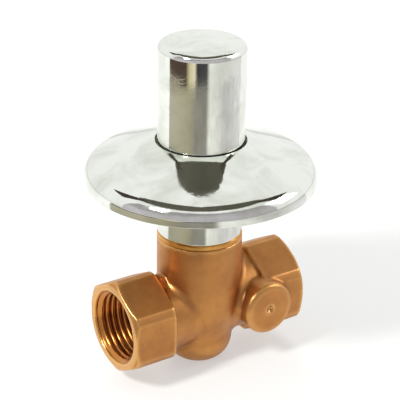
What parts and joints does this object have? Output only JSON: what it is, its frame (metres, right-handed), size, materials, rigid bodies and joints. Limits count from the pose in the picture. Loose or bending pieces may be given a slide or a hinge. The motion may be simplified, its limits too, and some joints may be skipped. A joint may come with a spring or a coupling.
{
  "type": "concealed shut-off valve",
  "caption": "Built-in globe stop valve with two hexagonal female-threaded ports in line, a screw headwork under a closed round cap, and a conical wall flange.",
  "frame": {"origin": "on the inlet port's axis, where its thread starts, 1.4 mm inside the mouth", "axes": "+X along the ports from inlet to outlet, +Z along the stem towards the cap, -Y towards the drain boss"},
  "size_m": [0.0648, 0.0648, 0.0963],
  "materials": {
    "forged_brass": "forged and blasted, matt",
    "turned_brass": "turned",
    "chromed_brass": "polished chrome plate",
    "black_rubber": "moulded",
    "spring_steel": "bright",
    "white_plastic": "moulded"
  },
  "bodies": {
    "valve": {"valve_body": "forged_brass", "bonnet": "turned_brass", "bonnet_gasket": "black_rubber", "thrust_washer": "white_plastic", "cap_lower_o_ring": "black_rubber", "cap_upper_o_ring": "black_rubber"},
    "stem": {"stem": "turned_brass", "stem_upper_o_ring": "black_rubber", "stem_lower_o_ring": "black_rubber", "spacer_washer": "turned_brass", "snap_ring": "spring_steel"},
    "carrier": {"disc_carrier": "turned_brass", "seat_washer": "black_rubber", "washer_plate": "turned_brass", "washer_screw": "turned_brass"},
    "cap": {"cap": "chromed_brass"},
    "flange": {"flange": "chromed_brass", "grip_ring_holder": "white_plastic", "flange_grip_ring": "black_rubber"}
  },
  "joints": [
    {"name": "stem_turn", "type": "hinge", "parent": "valve", "child": "stem", "pos_m": [0.0271, 0, 0.04], "axis": [0, 0, 1], "range_deg": [-900, 0]},
    {"name": "carrier_slide", "type": "slide", "parent": "valve", "child": "carrier", "axis": [0, 0, 1], "range_m": [-0.005, 0]},
    {"name": "cap_pull", "type": "slide", "parent": "valve", "child": "cap", "axis": [0, 0, 1], "range_m": [0, 0.034]},
    {"name": "flange_slide", "type": "slide", "parent": "cap", "child": "flange", "axis": [0, 0, 1], "range_m": [-0.014, 0.02]}
  ],
  "couplings": [
    {"joint": "carrier_slide", "follows": "stem_turn", "m_per_rad": 0.0003183}
  ]
}
